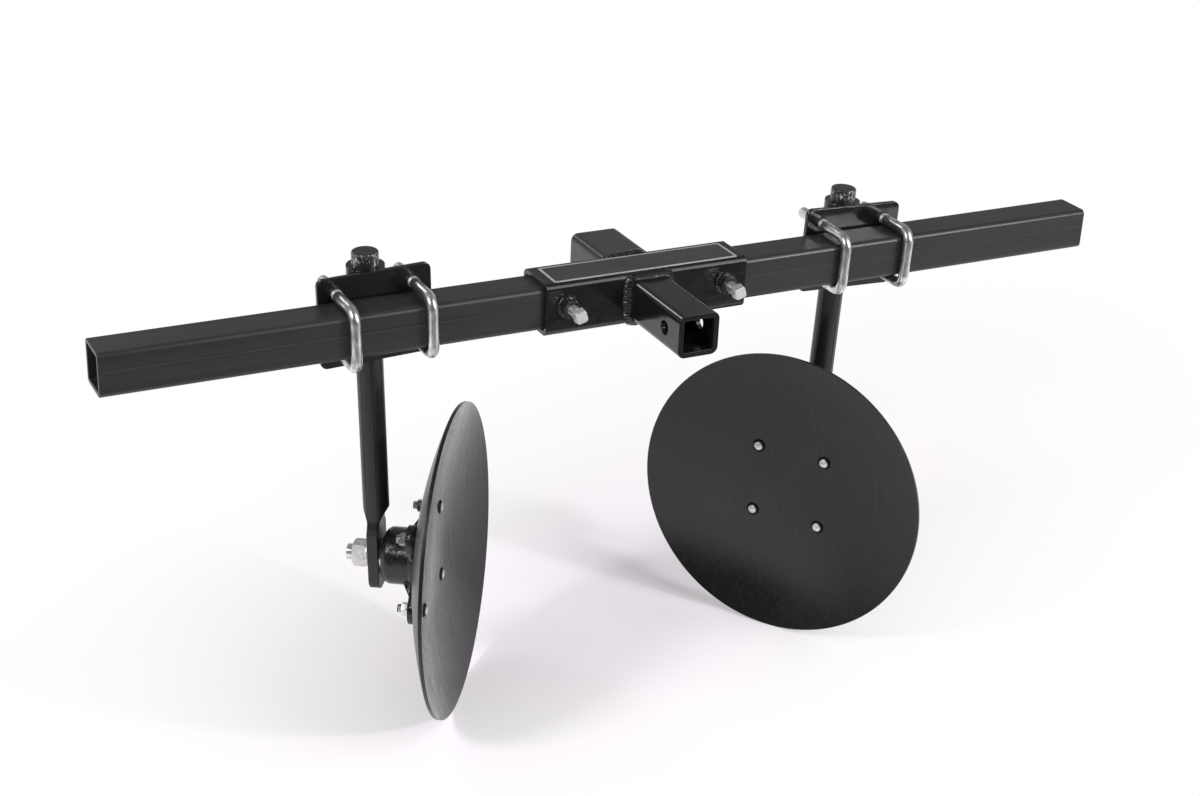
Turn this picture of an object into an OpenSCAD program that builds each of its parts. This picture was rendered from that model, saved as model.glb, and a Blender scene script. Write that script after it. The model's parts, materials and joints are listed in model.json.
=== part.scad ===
// Two-disc bedder on a square toolbar, for a drawbar hitch.
// +X runs along the toolbar, -Y points forward to the tractor, +Z is up.
// The origin is the centre of the hitch pin hole.

/* [Toolbar] */
// Length of the square toolbar
bar_len = 1270; // [1000:10:1600]
// Outside width of the toolbar
bar_side = 50.8; // [44:0.1:64]
// Wall of the toolbar
bar_wall = 4.8; // [3:0.1:6.4]
// Outside corner radius of the toolbar
bar_corner = 6; // [3:0.5:8]

/* [Hitch sleeve] */
// Length of the sleeve that the toolbar slides in
sleeve_len = 260; // [180:5:340]
// Wall of the sleeve and of the rear receiver
sleeve_wall = 6; // [4:0.1:8]
// Outside corner radius of the sleeve
sleeve_corner = 8; // [4:0.5:10]
// Gap on each side between a sliding tube and its socket
slide_gap = 0.35; // [0.2:0.05:0.8]
// Outside width of the hitch tube, and of what the rear receiver takes
hitch_side = 50.8; // [44:0.1:64]
// Wall of the hitch tube
hitch_wall = 6.35; // [4:0.05:8]
// Outside corner radius of the hitch tube and of the rear receiver
hitch_corner = 9; // [4:0.5:10]
// Length of the hitch tube in front of the sleeve
hitch_reach = 121; // [90:1:200]
// Length of the rear receiver behind the sleeve
receiver_reach = 79; // [70:1:140]
// Hitch pin hole diameter
pin_hole_d = 16.5; // [12.5:0.1:20]
// Distance of each pin hole from the open end of its tube
pin_setback = 34; // [28:1:50]
// Distance of each set bolt from the end of the sleeve
set_bolt_inset = 27.5; // [20:0.5:45]
// Height of those set bolts above the middle of the toolbar
set_bolt_rise = 3; // [0:0.5:6]

/* [Clamps] */
// Distance of each clamp from the middle of the toolbar
clamp_x = 312.5; // [230:0.5:420]
// Lean of each clamp, with its foot inward
clamp_lean = 2.1; // [0:0.1:5]
// Width of the clamp plate
plate_w = 134; // [120:1:160]
// Height of the clamp plate
plate_h = 107; // [104:1:140]
// Thickness of the clamp plate
plate_t = 6.35; // [5:0.05:10]
// Corner radius of the clamp plate
plate_corner = 8; // [3:0.5:14]
// Diameter of the U-bolt rod
rod_d = 12.7; // [9:0.1:14]
// Distance between the two U-bolts of a clamp
u_bolt_pitch = 90; // [80:1:100]
// Free space above and below the toolbar inside a U-bolt
u_bolt_slack = 2.4; // [2:0.1:4]
// Inside bend radius of a U-bolt
u_bolt_bend = 7; // [3:0.1:7]
// Length of a U-bolt leg behind the plate
u_bolt_tail = 40; // [34:1:60]
// Wall of the shank socket
socket_wall = 6.4; // [5:0.1:12]
// Height of the shank socket
socket_h = 105; // [96:1:150]
// Distance between the two set bolts of a socket
socket_bolt_pitch = 40; // [32:1:56]
// Distance of the middle of those set bolts below the middle of the toolbar
socket_bolt_drop = 14; // [0:1:16]

/* [Shanks] */
// Diameter of the round shank
shank_d = 31.2; // [25:0.1:37]
// Height of the shank above the middle of the toolbar
shank_top = 68.5; // [62:0.5:120]
// Depth of the spindle below the middle of the toolbar
spindle_drop = 320; // [280:1:420]
// Thickness of the flattened foot
foot_t = 13; // [10:0.5:20]
// Distance of the foot's middle from the shank's axis, away from the disc
foot_shift = 1.5; // [0:0.5:2]
// Width of the flattened foot
foot_w = 45; // [38:1:60]
// Length of the foot below the spindle
foot_below = 41; // [28:1:60]
// Height above the spindle where the shank starts to flatten
foot_above = 66; // [52:1:90]
// Height over which the shank is drawn out to the foot
foot_taper = 30; // [12:1:36]

/* [Discs] */
// Outside diameter of a disc
disc_d = 378; // [310:1:460]
// Thickness of a disc
disc_t = 4.3; // [3:0.1:6]
// Depth of the dish, from its flat middle to its rim
dish_depth = 31; // [15:0.5:40]
// Width of the flat middle outside the bolt circle
flat_margin = 17.5; // [14:0.1:30]
// Angle of each disc from straight ahead
disc_angle = 34.8; // [0:0.1:45]
// Turn of the right disc on its hub
right_spin = 1; // [-45:0.5:45]
// Turn of the left disc on its hub
left_spin = 2.5; // [-45:0.5:45]
// Bolt circle diameter of the disc
disc_pcd = 129; // [107:1:155]
// Diameter of a disc bolt
disc_bolt_d = 9.5; // [8:0.1:12]

/* [Hubs] */
// Length of the hub from its outer end to the disc
hub_len = 52.5; // [48:0.5:80]
// Largest diameter of the hub barrel
barrel_d = 69; // [60:1:76]
// Diameter of the spindle inside the hub
spindle_d = 25.4; // [22:0.1:28]
// Diameter of the threaded end of the spindle
thread_d = 19; // [15:0.1:20]
// Thickness of a flange arm
arm_t = 12.7; // [8:0.1:14]
// Width of a flange arm at its bolt
arm_w = 36; // [26:0.5:44]

/* [Hidden] */

// Drawing fineness of round forms
round_fn = 64;
// Sharp tools leave this much past a cut face
cut = 1;
// Gap of a seated piece that touches along a curve
seat_gap = 0.3;
// Gap round a bolt in a plain hole
bolt_gap = 0.6;
// Gap round a thread in its nut
thread_gap = 0.05;
// Radial gap of the clamped shank in its socket
shank_gap = 0.08;
// Radial gap of the hub on its spindle
hub_gap = 0.05;
// End gap between hub and foot
hub_end_gap = 0.6;

// Square tubes
sleeve_in = bar_side + 2 * slide_gap;
sleeve_out = sleeve_in + 2 * sleeve_wall;
receiver_in = hitch_side + 2 * slide_gap;
receiver_out = receiver_in + 2 * sleeve_wall;
bar_y = hitch_reach - pin_setback + sleeve_out / 2;

// Set bolts of the sleeve and of the sockets
set_bolt_d = 12.7;
set_nut_af = 1.6 * set_bolt_d;
set_nut_t = 11;
set_head_af = 13.5;
set_head_t = 12;
// The square heads of the sleeve's set bolts are turned by this much
set_head_turn = 17;
set_bolt_proud = set_nut_t + 13.5;
// A nut welded on the round socket stands this much into its curve
set_nut_sink = 2.2;

// Clamp frame: origin on the toolbar's centre line, Z along the shank, X outward
plate_face = bar_side / 2 + plate_t;
socket_d = shank_d + 2 * socket_wall;
socket_y = plate_face + socket_d / 2;
socket_weld_w = 27;
rod_r = rod_d / 2;
bend_r = u_bolt_bend + rod_r;
u_front = -(bar_side / 2 + seat_gap + rod_r);
u_top = bar_side / 2 + u_bolt_slack + rod_r;
u_bottom = -u_top;
u_nut_af = 1.5 * rod_d;
u_nut_t = 0.87 * rod_d;
washer_d = 2.1 * rod_d;
washer_t = 2.5;

// Spindle frame: origin on the shank's axis, Z towards the disc, X down
// Faces of the foot: away from the disc and towards it
foot_out = foot_t / 2 + foot_shift;
foot_in = foot_t / 2 - foot_shift;
// Shoulder of the spindle, between the foot and the hub
shoulder_t = 3;
shoulder_d = spindle_d + 14;
hub_z = foot_in + shoulder_t + hub_end_gap;
flange_z = hub_z + hub_len;
disc_r = disc_d / 2;
flat_r = disc_pcd / 2 + flat_margin;
// Radius of the dish, from its depth between the flat and the rim
dish_reach = ((disc_r * disc_r - flat_r * flat_r) / dish_depth + dish_depth) / 2;
dish_r = sqrt(dish_reach * dish_reach + flat_r * flat_r);
bolt_r = disc_pcd / 2;
boss_d = 2.4 * disc_bolt_d;
boss_t = 1.6;
collar_d = spindle_d + 10.6;
collar_t = 8;
pocket_d = collar_d + 8;
pocket_depth = 18;
seal_d = spindle_d + 16.6;
seal_t = 5;
lock_washer_t = 5;
lock_washer_d = 1.68 * thread_d;
spindle_nut_af = 1.52 * thread_d;
spindle_nut_t = 0.87 * thread_d;
thread_proud = 8.5;
disc_nut_af = 1.5 * disc_bolt_d;
disc_nut_t = 0.86 * disc_bolt_d;
disc_bolt_head_d = 1.84 * disc_bolt_d;
disc_bolt_head_t = 4;
// Grease fitting on the barrel, pointing to the rear between two arms
grease_turn = 270;
grease_z = hub_z + 24;
grease_d = 6.4;
grease_depth = 6;

module rounded_square(w, h, r) {
    square([w - 2 * r, h], center = true);
    square([w, h - 2 * r], center = true);
    for (x = [-1, 1], y = [-1, 1])
        translate([x * (w / 2 - r), y * (h / 2 - r)]) circle(r = r, $fn = round_fn);
}

// Square tube along Z
module square_tube(side, wall, corner, len) {
    linear_extrude(len, center = true)
        difference() {
            rounded_square(side, side, corner);
            rounded_square(side - 2 * wall, side - 2 * wall, max(corner - wall, 1));
        }
}

// Round bar along +Z
module rod(d, h) { cylinder(d = d, h = h, $fn = round_fn); }

// Round hole along +Z, cut a little past both ends of h
module bore(d, h) { translate([0, 0, -cut]) cylinder(d = d, h = h + 2 * cut, $fn = round_fn); }

// Flat ring along +Z
module ring(outer_d, inner_d, h) {
    difference() {
        rod(outer_d, h);
        bore(inner_d, h);
    }
}

module along_x() { rotate([0, 90, 0]) children(); }

module along_y() { rotate([90, 0, 0]) children(); }

// Places a child at the toolbar's middle
module at_bar() { translate([0, bar_y, 0]) children(); }

// Places a child in the clamp frame of the left (-1) or right (1) side
module on_clamp(side) {
    mirror([side < 0 ? 1 : 0, 0, 0])
        translate([clamp_x, bar_y, 0]) rotate([0, clamp_lean, 0]) children();
}

// Places a child in the spindle frame, whose Z points from the shank to the disc
module on_spindle(side) {
    on_clamp(side)
        translate([0, socket_y, -spindle_drop])
            rotate([0, 0, 180 + disc_angle]) rotate([0, 90, 0]) children();
}

// Places a child in the spindle frame, turned with the disc
module on_disc(side) {
    on_spindle(side) rotate([0, 0, side < 0 ? left_spin : right_spin]) children();
}

// Nut along +Z, standing on z = 0, with its corners turned down at both ends
module hex_nut(af, t, hole_d) {
    corner_r = af / sqrt(3);
    difference() {
        intersection() {
            cylinder(r = corner_r, h = t, $fn = 6);
            union() {
                translate([0, 0, t / 2])
                    cylinder(r1 = corner_r + t * 0.6, r2 = af / 2 - 0.2, h = t / 2, $fn = round_fn);
                cylinder(r1 = af / 2 - 0.2, r2 = corner_r + t * 0.6, h = t / 2, $fn = round_fn);
            }
        }
        bore(hole_d, t);
    }
}

// Square-headed set bolt along +Z: z = 0 is the face that its nut is welded to
module set_bolt(depth, head_turn) {
    translate([0, 0, -depth]) rod(set_bolt_d, depth + set_bolt_proud);
    translate([0, 0, set_bolt_proud]) rotate([0, 0, head_turn])
        intersection() {
            translate([0, 0, set_head_t / 2])
                cube([set_head_af, set_head_af, set_head_t], center = true);
            cylinder(r1 = set_head_af * 0.78, r2 = set_head_af * 0.6, h = set_head_t, $fn = round_fn);
        }
}

// Places a child at both set bolts of the sleeve, Z pointing forward
module at_sleeve_bolts() {
    for (side = [-1, 1])
        at_bar() translate([side * (sleeve_len / 2 - set_bolt_inset), -sleeve_out / 2, set_bolt_rise])
            along_y() children();
}

// Places a child at both set bolts of a socket, Z pointing to the rear
module at_socket_bolts(side) {
    for (z = [-1, 1])
        on_clamp(side)
            translate([0, socket_y + socket_d / 2, z * socket_bolt_pitch / 2 - socket_bolt_drop])
                rotate([-90, 0, 0]) children();
}

// Places a child at the four disc bolts
module at_disc_bolts(side) {
    for (i = [0:3]) on_disc(side) rotate([0, 0, 45 + 90 * i]) translate([bolt_r, 0, 0]) children();
}

module toolbar() {
    color([0.10, 0.10, 0.11]) at_bar() along_x() square_tube(bar_side, bar_wall, bar_corner, bar_len);
}

module hitch_sleeve() {
    color([0.09, 0.09, 0.10])
        difference() {
            at_bar() along_x() square_tube(sleeve_out, sleeve_wall, sleeve_corner, sleeve_len);
            at_sleeve_bolts() translate([0, 0, -sleeve_wall])
                bore(set_bolt_d + 2 * bolt_gap, sleeve_wall);
        }
}

module hitch_tube() {
    color([0.09, 0.09, 0.10])
        difference() {
            translate([0, (hitch_reach - 2 * pin_setback) / 2, 0])
                along_y() square_tube(hitch_side, hitch_wall, hitch_corner, hitch_reach);
            along_x() cylinder(d = pin_hole_d, h = hitch_side + 2 * cut, center = true, $fn = round_fn);
        }
}

module rear_receiver() {
    face_y = bar_y + sleeve_out / 2;
    color([0.09, 0.09, 0.10])
        difference() {
            translate([0, face_y + receiver_reach / 2, 0])
                along_y() square_tube(receiver_out, sleeve_wall, hitch_corner, receiver_reach);
            translate([0, face_y + receiver_reach - pin_setback, 0]) along_x()
                cylinder(d = pin_hole_d, h = receiver_out + 2 * cut, center = true, $fn = round_fn);
        }
}

module sleeve_nuts() {
    color([0.07, 0.07, 0.08])
        at_sleeve_bolts() hex_nut(set_nut_af, set_nut_t, set_bolt_d + 2 * thread_gap);
}

module sleeve_bolts() {
    color([0.75, 0.75, 0.73])
        at_sleeve_bolts() set_bolt(sleeve_wall + slide_gap - 0.05, set_head_turn);
}

module clamp_plate(side) {
    color([0.09, 0.09, 0.10])
        on_clamp(side)
            difference() {
                translate([0, plate_face, 0]) along_y()
                    linear_extrude(plate_t) rounded_square(plate_w, plate_h, plate_corner);
                for (x = [-1, 1], z = [u_top, u_bottom])
                    translate([x * u_bolt_pitch / 2, plate_face, z]) along_y()
                        bore(rod_d + 2 * bolt_gap, plate_t);
            }
}

module shank_socket(side) {
    color([0.09, 0.09, 0.10])
        difference() {
            on_clamp(side)
                difference() {
                    union() {
                        translate([0, socket_y, -socket_h / 2]) rod(socket_d, socket_h);
                        translate([-socket_weld_w / 2, plate_face, -(plate_h / 2 - 4)])
                            cube([socket_weld_w, socket_d / 2, plate_h - 8]);
                    }
                    translate([0, socket_y, -socket_h / 2]) bore(shank_d + 2 * shank_gap, socket_h);
                }
            at_socket_bolts(side) translate([0, 0, -socket_wall])
                bore(set_bolt_d + 2 * bolt_gap, socket_wall);
        }
}

module socket_nuts(side) {
    // The nut's foot is cupped to the round socket
    color([0.07, 0.07, 0.08])
        difference() {
            at_socket_bolts(side) translate([0, 0, -set_nut_sink])
                hex_nut(set_nut_af, set_nut_t, set_bolt_d + 2 * thread_gap);
            on_clamp(side) translate([0, socket_y, -socket_h / 2]) rod(socket_d + seat_gap, socket_h);
        }
}

module socket_bolts(side) {
    color([0.75, 0.75, 0.73])
        at_socket_bolts(side) set_bolt(socket_wall - seat_gap, 0);
}

// One U-bolt round the toolbar, its legs through the plate
module u_bolt(side, place) {
    tail_y = plate_face + u_bolt_tail;
    bend_y = u_front + bend_r;
    color([0.80, 0.80, 0.78])
        on_clamp(side) translate([place * u_bolt_pitch / 2, 0, 0]) {
            for (z = [u_top, u_bottom])
                translate([0, tail_y, z]) along_y() rod(rod_d, tail_y - bend_y);
            translate([0, u_front, u_bottom + bend_r]) rod(rod_d, u_top - u_bottom - 2 * bend_r);
            translate([0, bend_y, u_top - bend_r]) rod_bend(180);
            translate([0, bend_y, u_bottom + bend_r]) rod_bend(270);
        }
}

// Quarter bend of the rod in the YZ plane, turned to its corner
module rod_bend(turn) {
    rotate([0, 90, 0]) rotate([0, 0, turn])
        rotate_extrude(angle = 90, $fn = round_fn)
            translate([bend_r, 0]) circle(d = rod_d, $fn = round_fn);
}

module u_bolt_nuts(side) {
    color([0.78, 0.78, 0.76])
        for (x = [-1, 1], z = [u_top, u_bottom])
            on_clamp(side) translate([x * u_bolt_pitch / 2, plate_face, z]) rotate([-90, 0, 0]) {
                ring(washer_d, rod_d + 2 * thread_gap, washer_t);
                translate([0, 0, washer_t]) hex_nut(u_nut_af, u_nut_t, rod_d + 2 * thread_gap);
            }
}

// Outline of the forged foot, seen along the spindle, X down
module foot_outline() {
    r = foot_w * 0.36;
    top = foot_above - foot_taper;
    // The foot widens along an arc that starts inside the round bar
    start_y = sqrt(shank_d * shank_d / 4 - foot_out * foot_out);
    flare_w = foot_w / 2 - start_y;
    flare_len = foot_taper - 0.5;
    flare_r = (flare_len * flare_len + flare_w * flare_w) / (2 * flare_w);
    translate([-top, -foot_w / 2]) square([top + foot_below - r, foot_w]);
    translate([0, -foot_w / 2 + r]) square([foot_below, foot_w - 2 * r]);
    for (y = [-1, 1]) translate([foot_below - r, y * (foot_w / 2 - r)]) circle(r = r, $fn = round_fn);
    difference() {
        translate([-foot_above, -foot_w / 2]) square([foot_above, foot_w]);
        for (y = [-1, 1])
            translate([-foot_above, y * (start_y + flare_r)]) circle(r = flare_r, $fn = 180);
    }
}

// Round cut that draws one side of the bar in, to just below that face of the foot
module draw_in(way, foot_face) {
    face = foot_face - 0.2;
    draw_w = shank_d / 2 - face;
    draw_r = (foot_taper * foot_taper + draw_w * draw_w) / (2 * draw_w);
    translate([foot_taper - foot_above, 0, way * (face + draw_r)]) along_y()
        cylinder(r = draw_r, h = shank_d + 2 * cut, center = true, $fn = 180);
}

module shank(side) {
    bar_top = spindle_drop + shank_top;
    taper_end = foot_above - foot_taper;
    chamfer = 1.5;
    color([0.11, 0.11, 0.12])
        on_spindle(side)
            difference() {
                union() {
                    difference() {
                        translate([chamfer - bar_top, 0, 0])
                            along_x() rod(shank_d, bar_top - chamfer - taper_end);
                        draw_in(1, foot_in);
                        draw_in(-1, foot_out);
                    }
                    translate([-bar_top, 0, 0]) along_x()
                        cylinder(d1 = shank_d - 2 * chamfer, d2 = shank_d, h = chamfer, $fn = round_fn);
                    translate([0, 0, -foot_out]) linear_extrude(foot_t) foot_outline();
                }
                translate([0, 0, -foot_out]) bore(thread_d + bolt_gap, foot_t);
            }
}

module spindle(side) {
    collar_z = flange_z - pocket_depth + hub_end_gap;
    end_z = -(foot_out + lock_washer_t + spindle_nut_t + thread_proud);
    color([0.62, 0.62, 0.60])
        on_spindle(side) {
            translate([0, 0, end_z + 1]) rod(thread_d, foot_in - end_z);
            translate([0, 0, end_z]) cylinder(d1 = thread_d - 2, d2 = thread_d, h = 1, $fn = round_fn);
            translate([0, 0, foot_in]) rod(shoulder_d, shoulder_t);
            translate([0, 0, foot_in]) rod(spindle_d, collar_z - foot_in + 1);
            translate([0, 0, collar_z]) rod(collar_d, collar_t);
        }
}

module spindle_nut(side) {
    color([0.82, 0.82, 0.80])
        // Turned so that a flat of the nut faces forward and up
        on_spindle(side) translate([0, 0, -foot_out]) rotate([180, 0, 30]) {
            ring(lock_washer_d, thread_d + 2 * thread_gap, lock_washer_t);
            translate([0, 0, lock_washer_t])
                hex_nut(spindle_nut_af, spindle_nut_t, thread_d + 2 * thread_gap);
        }
}

// Half section of the cast barrel, from its outer end to the flange
module barrel_section() {
    r = barrel_d / 2;
    nose = 10;
    difference() {
        union() {
            square([r, hub_len]);
            translate([0, hub_len - arm_t - 5]) square([r + 4, arm_t + 5]);
        }
        // Rounded outer end
        difference() {
            translate([r - nose, -cut]) square([nose + cut, nose + cut]);
            translate([r - nose, nose]) circle(r = nose, $fn = round_fn);
        }
        // Hollow between the barrel and its flange lip
        translate([r + 9, hub_len - arm_t - 9]) circle(r = 8, $fn = round_fn);
    }
}

// Flange outline: a middle and four arms that end round their bolts
module flange_outline() {
    circle(r = barrel_d / 2 + 10, $fn = round_fn);
    for (i = [0:3]) rotate(45 + 90 * i) {
        polygon([[0, -arm_w * 0.72], [bolt_r, -arm_w / 2], [bolt_r, arm_w / 2], [0, arm_w * 0.72]]);
        translate([bolt_r, 0]) circle(d = arm_w, $fn = round_fn);
    }
}

module hub(side) {
    color([0.10, 0.10, 0.11])
        difference() {
            union() {
                on_disc(side) translate([0, 0, hub_z]) {
                    rotate_extrude($fn = 96) barrel_section();
                    translate([0, 0, hub_len - arm_t]) linear_extrude(arm_t) flange_outline();
                    for (i = [0:3]) rotate([0, 0, 45 + 90 * i]) hub_rib();
                }
                at_disc_bolts(side) translate([0, 0, flange_z - arm_t - boss_t]) rod(boss_d, boss_t + 1);
            }
            on_disc(side) {
                translate([0, 0, hub_z]) bore(spindle_d + 2 * hub_gap, hub_len);
                translate([0, 0, flange_z - pocket_depth]) rod(pocket_d, pocket_depth + cut);
                translate([0, 0, hub_z - cut]) rod(seal_d, seal_t + cut);
                rotate([0, 0, grease_turn]) translate([barrel_d / 2 - grease_depth, 0, grease_z])
                    along_x() rod(grease_d, grease_depth + 2 * cut);
            }
            at_disc_bolts(side) translate([0, 0, flange_z - arm_t - boss_t])
                bore(disc_bolt_d + bolt_gap, arm_t + boss_t);
        }
}

// Web from the barrel out along an arm
module hub_rib() {
    rib_w = 7;
    rib_h = 15;
    inner = barrel_d / 2 - 4;
    outer = bolt_r - boss_d / 2 + 2;
    rotate([90, 0, 0])
        linear_extrude(rib_w, center = true)
            polygon([
                [inner, hub_len - arm_t + 1],
                [outer, hub_len - arm_t + 1],
                [outer, hub_len - arm_t - boss_t / 2],
                [inner, hub_len - arm_t - rib_h]
            ]);
}

module grease_fitting(side) {
    color([0.85, 0.85, 0.82])
        on_disc(side) rotate([0, 0, grease_turn]) translate([barrel_d / 2, 0, grease_z]) along_x() {
            translate([0, 0, 1 - grease_depth]) rod(grease_d - 2 * thread_gap, grease_depth);
            translate([0, 0, 0.3]) cylinder(d = 9.2, h = 4.2, $fn = 6);
            translate([0, 0, 4]) rod(4.6, 5.6);
            translate([0, 0, 10]) sphere(d = grease_d, $fn = 32);
        }
}

module hub_seal(side) {
    color([0.05, 0.05, 0.05])
        on_disc(side) translate([0, 0, hub_z + 0.2])
            ring(seal_d - 0.2, spindle_d + 2 * seat_gap, seal_t - 0.2);
}

// Half section of the disc: z = 0 is the back of its flat middle
module disc_section() {
    difference() {
        intersection() {
            translate([0, disc_t + dish_reach]) circle(r = dish_r + disc_t, $fn = 720);
            square([disc_r, dish_depth + disc_t]);
        }
        translate([0, disc_t]) intersection() {
            translate([0, dish_reach]) circle(r = dish_r, $fn = 720);
            translate([-cut, 0]) square([disc_r + 2 * cut, dish_depth + cut]);
        }
    }
}

module disc(side) {
    color([0.16, 0.16, 0.17])
        difference() {
            on_disc(side) translate([0, 0, flange_z]) rotate_extrude($fn = 180) disc_section();
            at_disc_bolts(side) translate([0, 0, flange_z]) bore(disc_bolt_d + bolt_gap, disc_t);
        }
}

// Domed bolt head: a slice off a ball
module bolt_dome(d, h) {
    ball_r = (d * d / 4 + h * h) / (2 * h);
    rotate_extrude($fn = round_fn)
        intersection() {
            translate([0, h - ball_r]) circle(r = ball_r, $fn = 180);
            square([d / 2, h]);
        }
}

module disc_bolts(side) {
    tail = arm_t + boss_t + disc_nut_t + 5;
    color([0.80, 0.80, 0.78])
        at_disc_bolts(side) {
            translate([0, 0, flange_z - tail]) rod(disc_bolt_d, tail + disc_t + 1);
            translate([0, 0, flange_z + disc_t]) bolt_dome(disc_bolt_head_d, disc_bolt_head_t);
        }
}

module disc_nuts(side) {
    color([0.80, 0.80, 0.78])
        at_disc_bolts(side) translate([0, 0, flange_z - arm_t - boss_t]) rotate([180, 0, 0])
            hex_nut(disc_nut_af, disc_nut_t, disc_bolt_d + 2 * thread_gap);
}

toolbar();
hitch_sleeve();
hitch_tube();
rear_receiver();
sleeve_nuts();
sleeve_bolts();
clamp_plate(-1);  // left_clamp_plate
shank_socket(-1);  // left_socket
socket_nuts(-1);  // left_socket_nuts
socket_bolts(-1);  // left_socket_bolts
u_bolt(-1, 1);  // left_u_bolt_outer
u_bolt(-1, -1);  // left_u_bolt_inner
u_bolt_nuts(-1);  // left_u_bolt_nuts
shank(-1);  // left_shank
spindle(-1);  // left_spindle
spindle_nut(-1);  // left_spindle_nut
hub(-1);  // left_hub
hub_seal(-1);  // left_hub_seal
grease_fitting(-1);  // left_grease_fitting
disc(-1);  // left_disc
disc_bolts(-1);  // left_disc_bolts
disc_nuts(-1);  // left_disc_nuts
clamp_plate(1);  // right_clamp_plate
shank_socket(1);  // right_socket
socket_nuts(1);  // right_socket_nuts
socket_bolts(1);  // right_socket_bolts
u_bolt(1, 1);  // right_u_bolt_outer
u_bolt(1, -1);  // right_u_bolt_inner
u_bolt_nuts(1);  // right_u_bolt_nuts
shank(1);  // right_shank
spindle(1);  // right_spindle
spindle_nut(1);  // right_spindle_nut
hub(1);  // right_hub
hub_seal(1);  // right_hub_seal
grease_fitting(1);  // right_grease_fitting
disc(1);  // right_disc
disc_bolts(1);  // right_disc_bolts
disc_nuts(1);  // right_disc_nuts
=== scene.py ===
import json
import math
import random

import bpy
from mathutils import Matrix, Vector


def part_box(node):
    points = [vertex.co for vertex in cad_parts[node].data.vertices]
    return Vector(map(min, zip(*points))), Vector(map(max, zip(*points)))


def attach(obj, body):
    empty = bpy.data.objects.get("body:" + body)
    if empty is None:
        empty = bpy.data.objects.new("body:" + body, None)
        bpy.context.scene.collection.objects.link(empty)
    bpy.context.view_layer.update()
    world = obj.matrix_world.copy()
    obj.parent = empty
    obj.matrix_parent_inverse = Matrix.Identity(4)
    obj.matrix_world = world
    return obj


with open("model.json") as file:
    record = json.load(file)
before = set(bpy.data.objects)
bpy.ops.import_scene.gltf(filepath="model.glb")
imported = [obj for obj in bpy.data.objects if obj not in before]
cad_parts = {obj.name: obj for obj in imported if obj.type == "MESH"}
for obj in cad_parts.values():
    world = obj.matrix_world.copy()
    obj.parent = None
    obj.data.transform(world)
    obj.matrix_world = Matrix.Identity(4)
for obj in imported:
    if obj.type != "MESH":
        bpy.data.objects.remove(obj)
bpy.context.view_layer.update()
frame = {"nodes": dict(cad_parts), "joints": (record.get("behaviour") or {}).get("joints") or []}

NODES = frame["nodes"]
JOINTS = {j["name"]: j for j in frame["joints"]}
SIDES = ("left", "right")
MM = 0.001
# A hexagon's corner is this much further from its middle than its side is
HEX_CORNER = 1.1547


# ---------------------------------------------------------------- places

def middle(node):
    """Middle of a CAD node's box."""
    lo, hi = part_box(node)
    return (lo + hi) / 2


def basis(origin, x, y, z):
    """Matrix that takes a point given along x, y and z from the origin to the part's own space."""
    m = Matrix((x, y, z)).transposed().to_4x4()
    m.translation = origin
    return m


BAR_MID = middle("toolbar")
BAR_LO, BAR_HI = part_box("toolbar")
SLEEVE_LO, SLEEVE_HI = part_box("hitch_sleeve")
FLOOR_Z = min(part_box(s + "_disc")[0].z for s in SIDES)

# Half the width of a nut on the sleeve, and the middle of each nut's foot
NUTS_LO, NUTS_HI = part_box("sleeve_nuts")
NUT_R = (NUTS_HI.z - NUTS_LO.z) / 2
NUT_MIDDLES = {
    tag: Vector((x, SLEEVE_LO.y, middle("sleeve_nuts").z))
    for tag, x in (("left", NUTS_LO.x + NUT_R * HEX_CORNER), ("right", NUTS_HI.x - NUT_R * HEX_CORNER))
}


def clamp_frame(side):
    """Origin on the toolbar's line, X outward, Y to the rear, Z up along the shank."""
    joint = JOINTS[side + "_shank_swivel"]
    z = Vector(joint["axis"]).normalized()
    out = Vector((-1 if side == "left" else 1, 0, 0))
    x = (out - out.dot(z) * z).normalized()
    origin = Vector(joint["pos_m"])
    origin.y = BAR_MID.y
    return basis(origin, x, Vector((0, 1, 0)), z)


def spindle_frame(side):
    """Origin where the spindle crosses the shank's line, Z towards the disc."""
    joint = JOINTS[side + "_disc_spin"]
    z = Vector(joint["axis"]).normalized()
    shank = Vector(JOINTS[side + "_shank_swivel"]["axis"]).normalized()
    x = -(shank - shank.dot(z) * z).normalized()
    return basis(Vector(joint["pos_m"]), x, z.cross(x), z)


CLAMP = {s: clamp_frame(s) for s in SIDES}
SPINDLE = {s: spindle_frame(s) for s in SIDES}

# The flat middle of a disc lies within this share of its radius, and is this flat
DISC_MIDDLE = 0.4
DISC_FLATNESS = 0.02 * MM


def spindle_points(side, node):
    """Corners of a part in its side's spindle frame."""
    to_spindle = SPINDLE[side].inverted()
    obj = NODES[f"{side}_{node}"]
    return [to_spindle @ (obj.matrix_world @ v.co) for v in obj.data.vertices]


def off_axis(point):
    """Distance of a point in the spindle frame from the spindle's line."""
    return math.hypot(point.x, point.y)


def disc_profile(side):
    """Radius and height of a disc's rim, and of the edge of its flat middle, on its hollow face."""
    reach = [(off_axis(p), p.z) for p in spindle_points(side, "disc")]
    rim_r, rim_z = max(reach)
    flat_z = max(z for r, z in reach if r < DISC_MIDDLE * rim_r)
    flat_r = max(r for r, z in reach if abs(z - flat_z) < DISC_FLATNESS)
    return rim_r, rim_z, flat_r, flat_z


def dish_centre(side):
    """Centre of the ball that a disc's hollow face is part of."""
    rim_r, rim_z, flat_r, flat_z = disc_profile(side)
    # The rim and the edge of the flat middle lie on the same ball
    centre_z = ((rim_r ** 2 - flat_r ** 2) / (rim_z - flat_z) + rim_z + flat_z) / 2
    return SPINDLE[side] @ Vector((0, 0, centre_z))


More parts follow.
